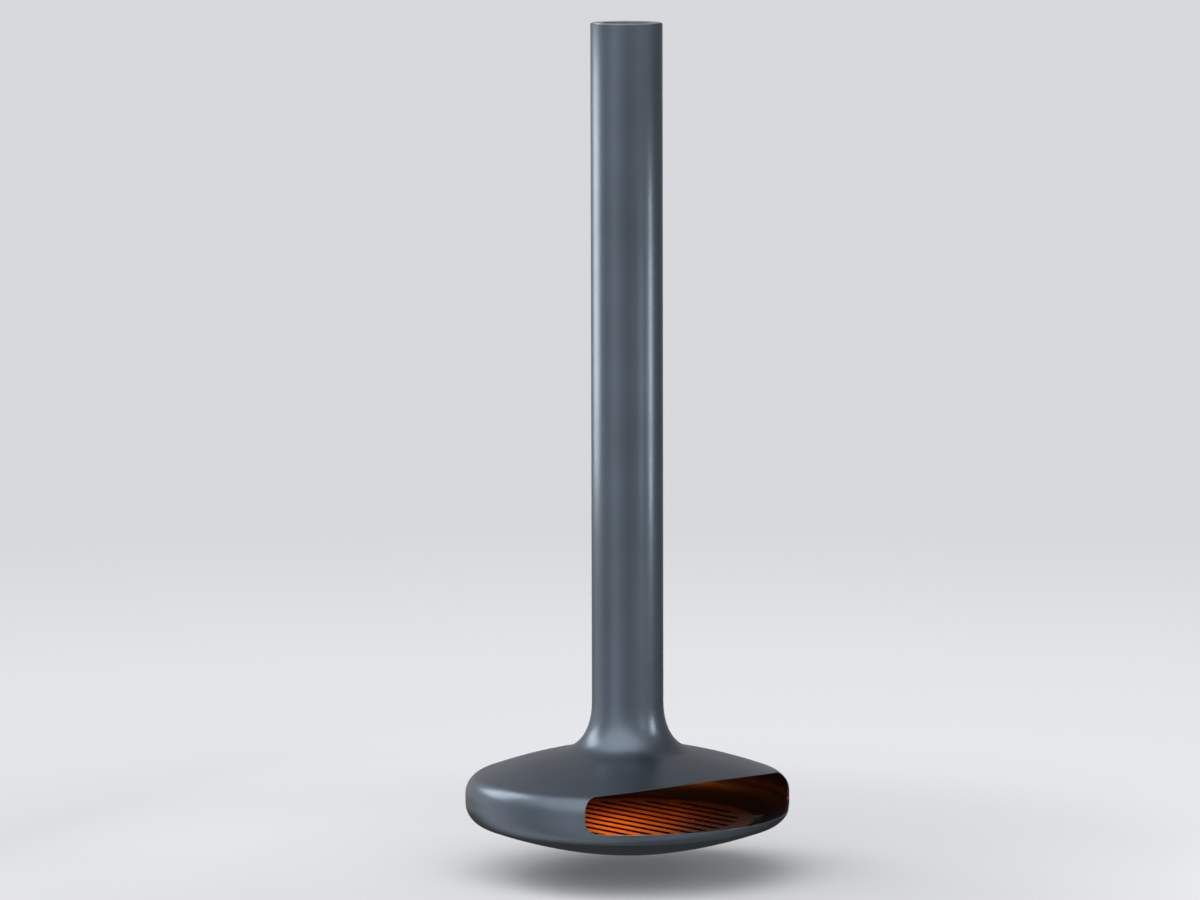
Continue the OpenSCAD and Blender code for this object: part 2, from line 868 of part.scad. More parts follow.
ceiling_plate();
outlet_socket();
rope_seal();
drop_tube();
bearing_seat();
seat_screws();
bearing_balls();
ball_cage();
guide_ring();
turning_ring();
flue_liner();
spacer_rings();
flue_sleeve();
coupling_collar();
throat_ring();
throat_gussets();
damper_bushes();
hood_shell();
bowl_shell();
rim_backing_ring();
mouth_frame();
support_ring();
support_brackets();
damper_flap();
damper_spindle();
rod_pin();
damper_rod();
damper_knob();
ash_pan();
pan_handles();
hearth_plate();
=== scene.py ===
"""Looks of a suspended fireplace: painted shells, lined mouth, lit hearth plate, lights and camera."""
import json
import math

import bpy
import numpy as np
from mathutils import Matrix, Vector


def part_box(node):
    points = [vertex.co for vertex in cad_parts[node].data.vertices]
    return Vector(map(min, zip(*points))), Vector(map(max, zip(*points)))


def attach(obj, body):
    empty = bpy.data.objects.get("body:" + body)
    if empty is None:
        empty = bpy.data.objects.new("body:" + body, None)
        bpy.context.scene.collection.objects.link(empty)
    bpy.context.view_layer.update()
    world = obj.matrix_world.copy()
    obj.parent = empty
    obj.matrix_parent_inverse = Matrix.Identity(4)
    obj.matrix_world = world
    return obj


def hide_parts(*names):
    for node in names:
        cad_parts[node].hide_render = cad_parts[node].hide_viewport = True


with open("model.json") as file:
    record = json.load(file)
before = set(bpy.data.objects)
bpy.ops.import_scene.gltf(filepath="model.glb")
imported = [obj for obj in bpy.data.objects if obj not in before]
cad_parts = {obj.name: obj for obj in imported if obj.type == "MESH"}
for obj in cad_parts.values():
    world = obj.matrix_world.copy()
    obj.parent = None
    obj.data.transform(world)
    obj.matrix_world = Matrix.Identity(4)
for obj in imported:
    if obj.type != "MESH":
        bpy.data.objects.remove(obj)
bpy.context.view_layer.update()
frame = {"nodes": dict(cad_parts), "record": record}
scene = bpy.context.scene

# Sizes of the hearth, in metres, as the solids have them
RIM_R = 0.625
BAND_H = 0.034
SHELL_T = 0.004
HOOD_EDGE_R = 0.080
HOOD_EDGE_SLOPE = math.radians(20.2)
HOOD_NECK_SLOPE = math.radians(11.5)
BOWL_EDGE_R = 0.086
BOWL_EDGE_SLOPE = math.radians(20.4)
BOWL_BASE_SLOPE = math.radians(10.4)
BASE_R = 0.2355
SLEEVE_R = 0.1375
SLEEVE_T = 0.002
FLARE_R = 0.259
FLARE_H = 0.194
FLARE_RUN_SHARE = 0.672
FLARE_RISE_SHARE = 0.557
MOUTH_W = 1.026
MOUTH_SILL = 0.051
MOUTH_HEAD = 0.122
MOUTH_ARCH_R = 3.590
MOUTH_HIGH_CORNER_R = 0.070
MOUTH_LOW_CORNER_R = 0.046
LIP_T = 0.004
LIP_DEPTH = 0.008
PLATE_R = 0.491
SLOT_W = 0.025
SLOT_PITCH = 0.0715
SLOT_COUNT = 12
SLOT_FIELD_R = 0.420

# Rounded edges that only the looks have. The plate's stays under half of its 6 mm thickness.
LIP_EDGE_R = 0.0034
LIP_FACE_SHARE = 0.3
SLEEVE_EDGE_R = 0.0009
PLATE_EDGE_R = 0.0028

# Heights that the solids give
RIM_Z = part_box("bowl_shell")[1].z
NECK_TOP_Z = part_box("hood_shell")[1].z
SLEEVE_TOP_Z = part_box("flue_sleeve")[1].z
PLATE_LOW, PLATE_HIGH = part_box("hearth_plate")

# How far the mouth's cutter reaches past the rim
CUTTER_OVERRUN = 0.05

# Fineness of the built meshes
TURN_STEPS = 288
SHOULDER_STEPS = 28
DOME_STEPS = 24
FLARE_STEPS = 44
CORNER_STEPS = 20
EDGE_STEPS = 5
PLATE_STEPS = 240
PLATE_EDGE_STEPS = 3
SLOT_END_STEPS = 16
SLEEVE_STATION_SHARES = (0.25, 0.5, 0.75)
# An odd count, so that no corner of the mouth falls on a corner of the shells
ARCH_STEPS = 97
SMOOTH_ANGLE = math.radians(35)
# How nearly a face has to face along the outline's normal to be shaded with it
SAME_WAY = 0.97
# How nearly a face of the plate has to face up or down to count as flat; the other faces get painted shade
FLAT_WAY = 0.998


def arc(centre, radius, start, end, steps):
    """Points along an arc in the plane of radius and height, both ends included."""
    angles = [start + (end - start) * i / steps for i in range(steps + 1)]
    return [(centre[0] + radius * math.cos(a), centre[1] + radius * math.sin(a)) for a in angles]


def cubic(a, b, c, d, t):
    """A point along a cubic curve."""
    u = 1 - t
    return tuple(u**3 * a[i] + 3 * u * u * t * b[i] + 3 * u * t * t * c[i] + t**3 * d[i] for i in (0, 1))


def along(point, angle, distance):
    return (point[0] + distance * math.cos(angle), point[1] + distance * math.sin(angle))


def hood_outline():
    """Outside of the hood from the rim seam up to the top of its neck."""
    quarter = math.pi / 2
    edge = (RIM_R - HOOD_EDGE_R, RIM_Z + BAND_H / 2)
    start = along(edge, quarter - HOOD_EDGE_SLOPE, HOOD_EDGE_R)
    dome_r = (start[0] - FLARE_R) / (math.sin(HOOD_EDGE_SLOPE) - math.sin(HOOD_NECK_SLOPE))
    centre = along(start, quarter - HOOD_EDGE_SLOPE, -dome_r)
    flare = along(centre, quarter - HOOD_NECK_SLOPE, dome_r)
    top = (SLEEVE_R, flare[1] + FLARE_H)
    run = (FLARE_R - SLEEVE_R) * FLARE_RUN_SHARE
    handle_out = along(flare, math.pi - HOOD_NECK_SLOPE, run)
    handle_in = (top[0], top[1] - FLARE_H * FLARE_RISE_SHARE)
    curve = [cubic(flare, handle_out, handle_in, top, i / FLARE_STEPS) for i in range(1, FLARE_STEPS + 1)]
    return (
        [(RIM_R, RIM_Z)]
        + arc(edge, HOOD_EDGE_R, 0, quarter - HOOD_EDGE_SLOPE, SHOULDER_STEPS)
        + arc(centre, dome_r, quarter - HOOD_EDGE_SLOPE, quarter - HOOD_NECK_SLOPE, DOME_STEPS)[1:]
        + curve
        + [(SLEEVE_R, NECK_TOP_Z)]
    )


def bowl_outline():
    """Outside of the bowl from the rim seam down to the middle of its base."""
    quarter = math.pi / 2
    edge = (RIM_R - BOWL_EDGE_R, RIM_Z - BAND_H / 2)
    start = along(edge, BOWL_EDGE_SLOPE - quarter, BOWL_EDGE_R)
    dome_r = (start[0] - BASE_R) / (math.sin(BOWL_EDGE_SLOPE) - math.sin(BOWL_BASE_SLOPE))
    centre = along(start, BOWL_EDGE_SLOPE - quarter, -dome_r)
    curve = arc(centre, dome_r, BOWL_EDGE_SLOPE - quarter, BOWL_BASE_SLOPE - quarter, DOME_STEPS)
    return (
        [(RIM_R, RIM_Z)]
        + arc(edge, BOWL_EDGE_R, 0, BOWL_EDGE_SLOPE - quarter, SHOULDER_STEPS)
        + curve[1:]
        + [(0.0, curve[-1][1])]
    )


def normals_of(outline, side):
    """Unit normal at each point of an outline, to its left for side 1 and to its right for side -1."""
    points = np.array(outline)
    runs = np.diff(points, axis=0)
    runs /= np.linalg.norm(runs, axis=1)[:, None]
    left = side * np.stack([-runs[:, 1], runs[:, 0]], axis=1)
    before = np.vstack([left[:1], left])
    after = np.vstack([left, left[-1:]])
    both = before + after
    return both / np.linalg.norm(both, axis=1)[:, None]


def beside(outline, distance, side):
    """The outline moved sideways."""
    moved = np.array(outline) + distance * normals_of(outline, side)
    return [tuple(p) for p in moved]


def new_object(name, vertices, faces):
    mesh = bpy.data.meshes.new(name)
    mesh.from_pydata(vertices, [], faces)
    mesh.validate()
    mesh.update()
    made = bpy.data.objects.new(name, mesh)
    scene.collection.objects.link(made)
    return made


def smooth(piece):
    """Shades a mesh smooth apart from its sharp edges."""
    piece.data.shade_smooth()
    piece.data.set_sharp_from_angle(angle=SMOOTH_ANGLE)
    return piece


def revolved(name, section, marks=None):
    """A closed section turned round the Z axis. marks gives each run of the section its material number."""
    steps = TURN_STEPS
    count = len(section)
    on_axis = [abs(p[0]) < 1e-9 for p in section]
    vertices, rows = [], []
    for index, (r, z) in enumerate(section):
        if on_axis[index]:
            rows.append([len(vertices)] * steps)
            vertices.append((0, 0, z))
            continue
        rows.append([len(vertices) + i for i in range(steps)])
        for i in range(steps):
            turn = 2 * math.pi * i / steps
            vertices.append((r * math.cos(turn), r * math.sin(turn), z))
    faces, numbers = [], []
    for index in range(count):
        after = (index + 1) % count
        if on_axis[index] and on_axis[after]:
            continue
        for i in range(steps):
            j = (i + 1) % steps
            corners = [rows[index][i], rows[index][j], rows[after][j], rows[after][i]]
            faces.append(list(dict.fromkeys(corners)))
            numbers.append(marks[index] if marks else 0)
    made = new_object(name, vertices, faces)
    made.data.polygons.foreach_set("material_index", numbers)
    return made


def mouth_outline(inset):
    """The mouth seen from the front, as points of x and height above the rim seam, drawn in by an inset."""
    reach = MOUTH_ARCH_R - MOUTH_HIGH_CORNER_R
    arch = (0.0, MOUTH_HEAD - MOUTH_ARCH_R)
    high_x = MOUTH_W / 2 - MOUTH_HIGH_CORNER_R
    high = (high_x, arch[1] + math.sqrt(reach**2 - high_x**2))
    head_from = math.acos(high_x / reach)
    low = (MOUTH_W / 2 - MOUTH_LOW_CORNER_R, MOUTH_LOW_CORNER_R - MOUTH_SILL)
    high_r = MOUTH_HIGH_CORNER_R - inset
    low_r = MOUTH_LOW_CORNER_R - inset
    sill_z = low[1] - low_r
    side_z = [low[1], high[1]]
    half = MOUTH_W / 2 - inset
    sill = [(low[0] * (2 * i / ARCH_STEPS - 1), sill_z) for i in range(1, ARCH_STEPS)]
    right = [(half, side_z[0] + (side_z[1] - side_z[0]) * i / CORNER_STEPS) for i in range(1, CORNER_STEPS)]
    left = [(-x, z) for x, z in reversed(right)]
    return (
        sill
        + arc(low, low_r, -math.pi / 2, 0, CORNER_STEPS)
        + right
        + arc(high, high_r, 0, head_from, CORNER_STEPS)
        + arc(arch, MOUTH_ARCH_R - inset, head_from, math.pi - head_from, ARCH_STEPS)[1:]
        + arc((-high[0], high[1]), high_r, math.pi - head_from, math.pi, CORNER_STEPS)[1:]
        + left
        + arc((-low[0], low[1]), low_r, math.pi, 3 * math.pi / 2, CORNER_STEPS)
    )


def mouth_cutter():
    """The block that the mouth takes out of the shells."""
    outline = mouth_outline(0)
    count = len(outline)
    near, far = 0.0, -(RIM_R + CUTTER_OVERRUN)
    vertices = [(x, y, RIM_Z + z) for y in (near, far) for x, z in outline]
    faces = [[i, (i + 1) % count, count + (i + 1) % count, count + i] for i in range(count)]
    faces += [list(reversed(range(count))), list(range(count, 2 * count))]
    return new_object("mouth_cutter", vertices, faces)


def cut(piece, cutter):
    """Takes the cutter out of a piece and keeps the result as the piece's mesh."""
    change = piece.modifiers.new("mouth", "BOOLEAN")
    change.operation = "DIFFERENCE"
    change.solver = "EXACT"
    change.object = cutter
    depsgraph = bpy.context.evaluated_depsgraph_get()
    result = bpy.data.meshes.new_from_object(piece.evaluated_get(depsgraph))
    piece.modifiers.remove(change)
    piece.data = result
    return piece


def shell_normals(piece, outline, side):
    """Gives a cut shell the true normals of its outline, so that the cut leaves no mark in its gloss."""
    table = {}
    for name, points in (("out", outline), ("in", beside(outline, SHELL_T, side))):
        rows = np.array([(r, z, n[0], n[1]) for (r, z), n in zip(points, normals_of(outline, side))])
        table[name] = (rows[rows[:, 0].argsort(kind="stable")], rows[rows[:, 1].argsort(kind="stable")])
    mesh = piece.data
    mesh.shade_smooth()
    normals = np.zeros((len(mesh.loops), 3), np.float32)
    for face in mesh.polygons:
        outward = Vector((face.center.x, face.center.y, 0)).normalized()
        flat_r, flat_z = face.normal.dot(outward), face.normal.z
        for loop in face.loop_indices:
            x, y, z = mesh.vertices[mesh.loops[loop].vertex_index].co
            r = math.hypot(x, y)
            found = face.normal
            for name, sign in (("out", -1), ("in", 1)):
                by_r, by_z = table[name]
                steep = abs(flat_r) > abs(flat_z)
                rows, key, at = (by_z, 1, z) if steep else (by_r, 0, r)
                nr, nz = (np.interp(at, rows[:, key], rows[:, k]) for k in (2, 3))
                if sign * (nr * flat_r + nz * flat_z) > SAME_WAY and r > 1e-6:
                    found = Vector((sign * nr * x / r, sign * nr * y / r, sign * nz)).normalized()
            normals[loop] = found
    mesh.normals_split_custom_set(normals.tolist())
    return piece


def shell(name, outline, side, cutter):
    """A shell of sheet metal with the mouth cut out: painted outside and black inside."""
    inner = beside(outline, SHELL_T, side)
    section = outline + list(reversed(inner))
    marks = [0] * (len(outline) - 1) + [1] * (len(inner) + 1)
    made = revolved(name, section, marks)
    if side < 0:
        made.data.flip_normals()
    cut(made, cutter)
    return shell_normals(made, outline, side)


def lip():
    """The strip round the mouth: flush with the shells outside, with a rolled edge, going in behind it."""
    whole = list(reversed(bowl_outline()[:-1])) + hood_outline()[1:]
    inward = normals_of(whole, 1)
    edge = [(LIP_T - LIP_EDGE_R * (1 - math.sin(a)), LIP_EDGE_R * (1 - math.cos(a)))
            for a in [math.pi / 2 * i / EDGE_STEPS for i in range(EDGE_STEPS + 1)]]
    profile = [(0.0, 0.0), (LIP_T * LIP_FACE_SHARE, 0.0)] + edge + [(LIP_T, LIP_DEPTH), (0.0, LIP_DEPTH)]
    vertices = []
    count = 0
    for offset, depth in profile:
        moved = np.array(whole) + depth * inward
        order = moved[:, 1].argsort()
        points = mouth_outline(offset)
        count = len(points)
        for x, z in points:
            r = float(np.interp(RIM_Z + z, moved[order, 1], moved[order, 0]))
            vertices.append((x, -math.sqrt(r * r - x * x), RIM_Z + z))
    faces = []
    for k in range(len(profile)):
        after = (k + 1) % len(profile)
        for i in range(count):
            j = (i + 1) % count
            faces.append([k * count + i, k * count + j, after * count + j, after * count + i])
    made = new_object("mouth_lip", vertices, faces)
    return smooth(made)


def slotted_plate():
    """The hearth plate, drawn as outlines with rounded edges."""
    curve = bpy.data.curves.new("slotted_plate", "CURVE")
    curve.dimensions = "2D"
    curve.fill_mode = "BOTH"
    thickness = PLATE_HIGH.z - PLATE_LOW.z
    curve.extrude = thickness / 2 - PLATE_EDGE_R
    curve.bevel_depth = PLATE_EDGE_R
    curve.bevel_resolution = PLATE_EDGE_STEPS
    curve.offset = -PLATE_EDGE_R

    def add(points):
        spline = curve.splines.new("POLY")
        spline.points.add(len(points) - 1)
        for target, (x, y) in zip(spline.points, points):
            target.co = (x, y, 0, 1)
        spline.use_cyclic_u = True

    add(arc((0, 0), PLATE_R, 0, 2 * math.pi, PLATE_STEPS)[:-1])
    for k in range(SLOT_COUNT):
        x = (k - (SLOT_COUNT - 1) / 2) * SLOT_PITCH
        reach = math.sqrt(SLOT_FIELD_R**2 - x * x) - SLOT_W / 2
        far_end = arc((x, reach), SLOT_W / 2, 0, math.pi, SLOT_END_STEPS)
        near_end = arc((x, -reach), SLOT_W / 2, math.pi, 2 * math.pi, SLOT_END_STEPS)
        add(far_end + near_end)
    drawn = bpy.data.objects.new("slotted_plate", curve)
    scene.collection.objects.link(drawn)
    depsgraph = bpy.context.evaluated_depsgraph_get()
    mesh = bpy.data.meshes.new_from_object(drawn.evaluated_get(depsgraph))
    bpy.data.objects.remove(drawn)
    mesh.transform(Matrix.Translation((0, 0, (PLATE_LOW.z + PLATE_HIGH.z) / 2)))
    made = bpy.data.objects.new("slotted_plate", mesh)
    scene.collection.objects.link(made)
    return smooth(made)


def sleeve():
    """The flue's outer tube, with its top edge rounded."""
    edge_r = SLEEVE_EDGE_R
    inner = SLEEVE_R - SLEEVE_T
    outer_edge = arc((SLEEVE_R - edge_r, SLEEVE_TOP_Z - edge_r), edge_r, 0, math.pi / 2, EDGE_STEPS)
    inner_edge = arc((inner + edge_r, SLEEVE_TOP_Z - edge_r), edge_r, math.pi / 2, math.pi, EDGE_STEPS)
    stations = [SLEEVE_TOP_Z + (NECK_TOP_Z - SLEEVE_TOP_Z) * share for share in SLEEVE_STATION_SHARES]
    outside = [(SLEEVE_R, NECK_TOP_Z)] + [(SLEEVE_R, z) for z in reversed(stations)]
    inside = [(inner, z) for z in stations] + [(inner, NECK_TOP_Z)]
    made = revolved("sleeve_skin", outside + outer_edge + inner_edge + inside)
    return smooth(made)


class Nodes:
    """A material's node tree, with short ways to add and join nodes."""

    def __init__(self, name):
        self.material = bpy.data.materials.new(name)
        self.material.use_nodes = True
        self.tree = self.material.node_tree
        self.shader = self.tree.nodes["Principled BSDF"]
        self.place = self.add("ShaderNodeTexCoord").outputs["Object"]

    def add(self, kind, **settings):
        node = self.tree.nodes.new(kind)
        for key, value in settings.items():
            setattr(node, key, value)
        return node

    def join(self, source, target):
        self.tree.links.new(source, target)

    def noise(self, scale, detail=3.0):
        node = self.add("ShaderNodeTexNoise")
        node.inputs["Scale"].default_value = scale
        node.inputs["Detail"].default_value = detail
        self.join(self.place, node.inputs["Vector"])
        return node.outputs["Fac"]

    def ramp(self, source, stops):
        """Colours, or greys given as one number, at places from 0 to 1."""
        node = self.add("ShaderNodeValToRGB")
        steps = node.color_ramp.elements
        while len(steps) < len(stops):
            steps.new(0.5)
        for step, (at, value) in zip(steps, stops):
            step.position = at
            rgb = (value, value, value) if isinstance(value, (int, float)) else value
            step.color = (*rgb, 1)
        self.join(source, node.inputs["Fac"])
        return node.outputs["Color"]

    def bump(self, source, distance, strength=1.0):
        node = self.add("ShaderNodeBump")
        node.inputs["Strength"].default_value = strength
        node.inputs["Distance"].default_value = distance
        self.join(source, node.inputs["Height"])
        self.join(node.outputs["Normal"], self.shader.inputs["Normal"])

    def set(self, **values):
        names = {"metallic": "Metallic", "specular": "Specular IOR Level"}
        for key, value in values.items():
            self.shader.inputs[names[key]].default_value = value


def linear(red, green, blue):
    """A colour given as 0 to 255 on a screen, as the shader's linear values."""
    def one(value):
        share = value / 255
        return share / 12.92 if share <= 0.04045 else ((share + 0.055) / 1.055) ** 2.4
    return (one(red), one(green), one(blue))


def finish(name, dark, light, rough, scale, metallic=0.0, bump_at=None, bump_height=0.0):
    """A material whose colour and roughness wander between two values, with a fine relief."""
    made = Nodes(name)
    made.join(made.ramp(made.noise(scale), [(0.3, dark), (0.7, light)]), made.shader.inputs["Base Color"])
    wear = made.ramp(made.noise(scale * 2.7), [(0.3, rough[0]), (0.7, rough[1])])
    made.join(wear, made.shader.inputs["Roughness"])
    made.set(metallic=metallic)
    if bump_at:
        made.bump(made.noise(bump_at, 2.0), bump_height)
    return made.material


def paint_material():
    """Satin blue-grey paint with a faint orange-peel relief and slow changes of tone."""
    made = Nodes("satin_paint")
    tone = made.ramp(made.noise(3.1, 4.0), [(0.25, linear(78, 87, 95)), (0.75, linear(88, 97, 106))])
    made.join(tone, made.shader.inputs["Base Color"])
    rough = made.ramp(made.noise(5.3, 3.0), [(0.3, 0.28), (0.7, 0.33)])
    made.join(rough, made.shader.inputs["Roughness"])
    made.set(metallic=0.88)
    made.bump(made.noise(900, 2.0), 0.00003, 0.35)
    return made.material


def soot_material():
    """Heat-blackened sheet inside the hearth, browner in patches."""
    made = Nodes("black_steel")
    tone = made.ramp(made.noise(6.0, 5.0), [(0.3, linear(72, 62, 52)), (0.7, linear(96, 81, 68))])
    made.join(tone, made.shader.inputs["Base Color"])
    made.join(made.ramp(made.noise(18.0, 4.0), [(0.3, 0.42), (0.7, 0.6)]), made.shader.inputs["Roughness"])
    made.set(metallic=0.3)
    made.bump(made.noise(220, 4.0), 0.0002, 0.5)
    return made.material


def plate_material():
    """Dark brown cast iron on the faces of the hearth plate."""
    made = Nodes("plate_iron")
    tone = made.ramp(made.noise(14.0, 5.0), [(0.3, linear(66, 53, 49)), (0.7, linear(80, 63, 57))])
    made.join(tone, made.shader.inputs["Base Color"])
    made.join(made.ramp(made.noise(30.0, 4.0), [(0.3, 0.45), (0.7, 0.6)]), made.shader.inputs["Roughness"])
    made.set(metallic=0.3)
    made.bump(made.noise(90, 3.0), 0.0001, 0.15)
    return made.material


def shade_black_material():
    """Near-black matt iron, a painted shade: the walls of the slots, the plate's edge and the ash pan."""
    made = Nodes("shade_black_iron")
    tone = made.ramp(made.noise(30.0, 4.0), [(0.3, linear(9, 8, 7)), (0.7, linear(16, 14, 12))])
    made.join(tone, made.shader.inputs["Base Color"])
    made.join(made.ramp(made.noise(40.0, 4.0), [(0.3, 0.7), (0.7, 0.85)]), made.shader.inputs["Roughness"])
    made.set(specular=0.03)
    made.bump(made.noise(300, 4.0), 0.0002, 0.5)
    return made.material


def dress(piece, *materials):
    piece.data.materials.clear()
    for material in materials:
        piece.data.materials.append(material)
    return piece


def paint_shade_on_sides(piece):
    """Gives the sides and rounded edges of a flat piece the second material, which is painted shade."""
    upright = [1 if abs(face.normal.z) < FLAT_WAY else 0 for face in piece.data.polygons]
    piece.data.polygons.foreach_set("material_index", upright)
    return piece


def place(piece, body, slot, *nodes):
    """Puts a built piece on its body and hides the solids that it stands for; its slot is not used."""
    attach(piece, body)
    if nodes:
        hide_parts(*nodes)
    return piece


PAINT = paint_material()
SOOT = soot_material()
PLATE_IRON = plate_material()
# Near-black iron as painted shade, for the slot walls, the plate's edge and the ash pan
SHADE_BLACK_IRON = shade_black_material()
# A darker steel for the ring behind the seam, as painted shade, since the fire lights it from close by
SHADE_PAINTED_STEEL = finish("shade_painted_steel", linear(38, 33, 28), linear(52, 45, 39), (0.5, 0.65), 18.0,
                      metallic=0.3, bump_at=220, bump_height=0.0001)
MATERIALS = {
    "satin_paint": PAINT,
    "black_steel": SOOT,
    "zinc_steel": finish("zinc_steel", linear(140, 146, 152), linear(165, 170, 175), (0.28, 0.42), 9.0,
                         metallic=0.85, bump_at=400, bump_height=0.00004),
    "cast_iron": finish("cast_iron", linear(48, 45, 43), linear(66, 61, 58), (0.5, 0.68), 20.0,
                        metallic=0.4, bump_at=240, bump_height=0.0002),
    "ball_steel": finish("ball_steel", linear(196, 198, 200), linear(208, 210, 212), (0.08, 0.14), 30.0,
                         metallic=1.0),
    "bronze": finish("bronze", linear(160, 120, 66), linear(182, 140, 82), (0.28, 0.4), 40.0,
                     metallic=0.95, bump_at=500, bump_height=0.00003),
    "mineral_rope": finish("mineral_rope", linear(190, 184, 170), linear(214, 208, 196), (0.8, 0.95), 60.0,
                           bump_at=700, bump_height=0.0004),
    "graphite": finish("graphite", linear(46, 48, 50), linear(62, 64, 66), (0.45, 0.6), 25.0,
                       bump_at=500, bump_height=0.00005),
}
SLOT_OF = {row["node"]: row["material_slot"] for row in frame["record"]["subparts"]}
for node, piece in frame["nodes"].items():
    dress(piece, MATERIALS[SLOT_OF[node]])
# The ash pan under the slots is made near-black as painted shade
dress(frame["nodes"]["ash_pan"], SHADE_BLACK_IRON)
# The ring behind the seam gets the painted shade
dress(frame["nodes"]["rim_backing_ring"], SHADE_PAINTED_STEEL)

cutter = mouth_cutter()
hood = dress(shell("hood_skin", hood_outline(), 1, cutter), PAINT, SOOT)
bowl = dress(shell("bowl_skin", bowl_outline(), -1, cutter), PAINT, SOOT)
bpy.data.objects.remove(cutter)
place(hood, "hearth", "satin_paint", "hood_shell")
place(bowl, "hearth", "satin_paint", "bowl_shell")
place(dress(lip(), PAINT), "hearth", "satin_paint", "mouth_frame")
place(dress(sleeve(), PAINT), "hearth", "satin_paint", "flue_sleeve")
# The plate's top and bottom keep the iron; its sides and slot walls get the painted shade
place(paint_shade_on_sides(dress(slotted_plate(), PLATE_IRON, SHADE_BLACK_IRON)), "plate", "cast_iron", "hearth_plate")

# Camera: distances from the flue's axis, heights above the ceiling plate's face
CAMERA_DISTANCE = 26.024
CAMERA_Z = 1.225
CAMERA_AZIMUTH = math.radians(-40.0)
CAMERA_PITCH = math.radians(6.27)
CAMERA_YAW = math.radians(0.2291)
CAMERA_ROLL = math.radians(-0.13)
LENS_MM = 205.2
SENSOR_MM = 36
FAR_CLIP = 200


def add_camera():
    data = bpy.data.cameras.new("camera")
    data.lens = LENS_MM
    data.sensor_width = SENSOR_MM
    data.clip_end = FAR_CLIP
    made = bpy.data.objects.new("camera", data)
    scene.collection.objects.link(made)
    spot = Vector((math.sin(CAMERA_AZIMUTH), -math.cos(CAMERA_AZIMUTH), 0)) * CAMERA_DISTANCE
    made.location = (spot.x, spot.y, CAMERA_Z)
    facing = Matrix.Rotation(CAMERA_AZIMUTH + CAMERA_YAW, 4, "Z")
    tilt = Matrix.Rotation(math.pi / 2 - CAMERA_PITCH, 4, "X")
    roll = Matrix.Rotation(CAMERA_ROLL, 4, "Z")
    made.matrix_world = Matrix.Translation(made.location) @ facing @ tilt @ roll
    scene.camera = made


FLOOR_Z = -3.275
FLOOR_REACH = 60.0
# How pale the floor is, by the distance from the flue in metres. Beyond its own pale tone this is painted
# light and shade: darker near the flue, palest from about 3.6 to 6 m.
FLOOR_TONES_WITH_PAINTED_SHADE = [(0.0, 0.585), (1.5, 0.57), (2.1, 0.595), (2.8, 0.66), (3.6, 0.685), (6.0, 0.685),
               (9.0, 0.637), (11.0, 0.61), (14.0, 0.61)]
# A little light that only the camera sees, so that the shadow stays soft
FLOOR_LIFT = 0.05
FLOOR_ROUGHNESS = 0.8


def add_floor():
    """A pale studio floor that reaches beyond the picture."""
    near, far = -FLOOR_REACH, 2 * FLOOR_REACH
    corners = [(near, near, FLOOR_Z), (-near, near, FLOOR_Z), (-near, far, FLOOR_Z), (near, far, FLOOR_Z)]
    made = new_object("floor", corners, [[0, 1, 2, 3]])
    made.rotation_euler.z = CAMERA_AZIMUTH
    look = Nodes("floor_paint")
    flat = look.add("ShaderNodeVectorMath", operation="MULTIPLY")
    flat.inputs[1].default_value = (1, 1, 0)
    look.join(look.place, flat.inputs[0])
    reach = look.add("ShaderNodeVectorMath", operation="LENGTH")
    look.join(flat.outputs["Vector"], reach.inputs[0])
    share = look.add("ShaderNodeMath", operation="DIVIDE")
    share.inputs[1].default_value = FLOOR_TONES_WITH_PAINTED_SHADE[-1][0]
    look.join(reach.outputs["Value"], share.inputs[0])
    # Painted light and shade on the floor, by the distance from the flue
    stops = [(distance / FLOOR_TONES_WITH_PAINTED_SHADE[-1][0], tone - FLOOR_LIFT) for distance, tone in FLOOR_TONES_WITH_PAINTED_SHADE]
    look.join(look.ramp(share.outputs["Value"], stops), look.shader.inputs["Base Color"])
    lift = look.add("ShaderNodeMath", operation="MULTIPLY")
    lift.inputs[1].default_value = FLOOR_LIFT
    look.join(look.add("ShaderNodeLightPath").outputs["Is Camera Ray"], lift.inputs[0])
    look.shader.inputs["Emission Color"].default_value = (1, 1, 1, 1)
    look.join(lift.outputs["Value"], look.shader.inputs["Emission Strength"])
    look.shader.inputs["Roughness"].default_value = FLOOR_ROUGHNESS
    look.shader.inputs["Specular IOR Level"].default_value = 0.0
    dress(made, look.material)
    made.visible_glossy = False


def add_panel(name, azimuth, distance, z, width, height, radiance):
    """A soft light, placed round the flue from the camera's side, that faces the flue's axis."""
    data = bpy.data.lights.new(name, "AREA")
    data.shape = "RECTANGLE"
    data.size = width
    data.size_y = height
    data.energy = radiance * math.pi * width * height
    made = bpy.data.objects.new(name, data)
    scene.collection.objects.link(made)
    turn = CAMERA_AZIMUTH + math.radians(azimuth)
    made.location = (math.sin(turn) * distance, -math.cos(turn) * distance, z)
    aim = Vector((0, 0, z)) - made.location
    made.rotation_euler = aim.to_track_quat("-Z", "Y").to_euler()
    made.visible_camera = False


# How bright the studio's walls are, by the direction round the flue from the camera's side, in degrees
WALLS = [(-180, 0.34), (-150, 0.55), (-116, 1.20), (-100, 1.25), (-85, 0.95), (-70, 0.78), (-40, 1.30),
         (-15, 0.85), (0, 0.64), (20, 0.74), (45, 0.95), (70, 0.78), (100, 0.42), (135, 0.28), (180, 0.34)]
# The bright field overhead, and the direction that it is centred on: right, away and up from the camera
OVERHEAD = 2.3
OVERHEAD_TO = (-0.25, -0.45, 0.86)
OVERHEAD_FADE = (0.62, 0.95)
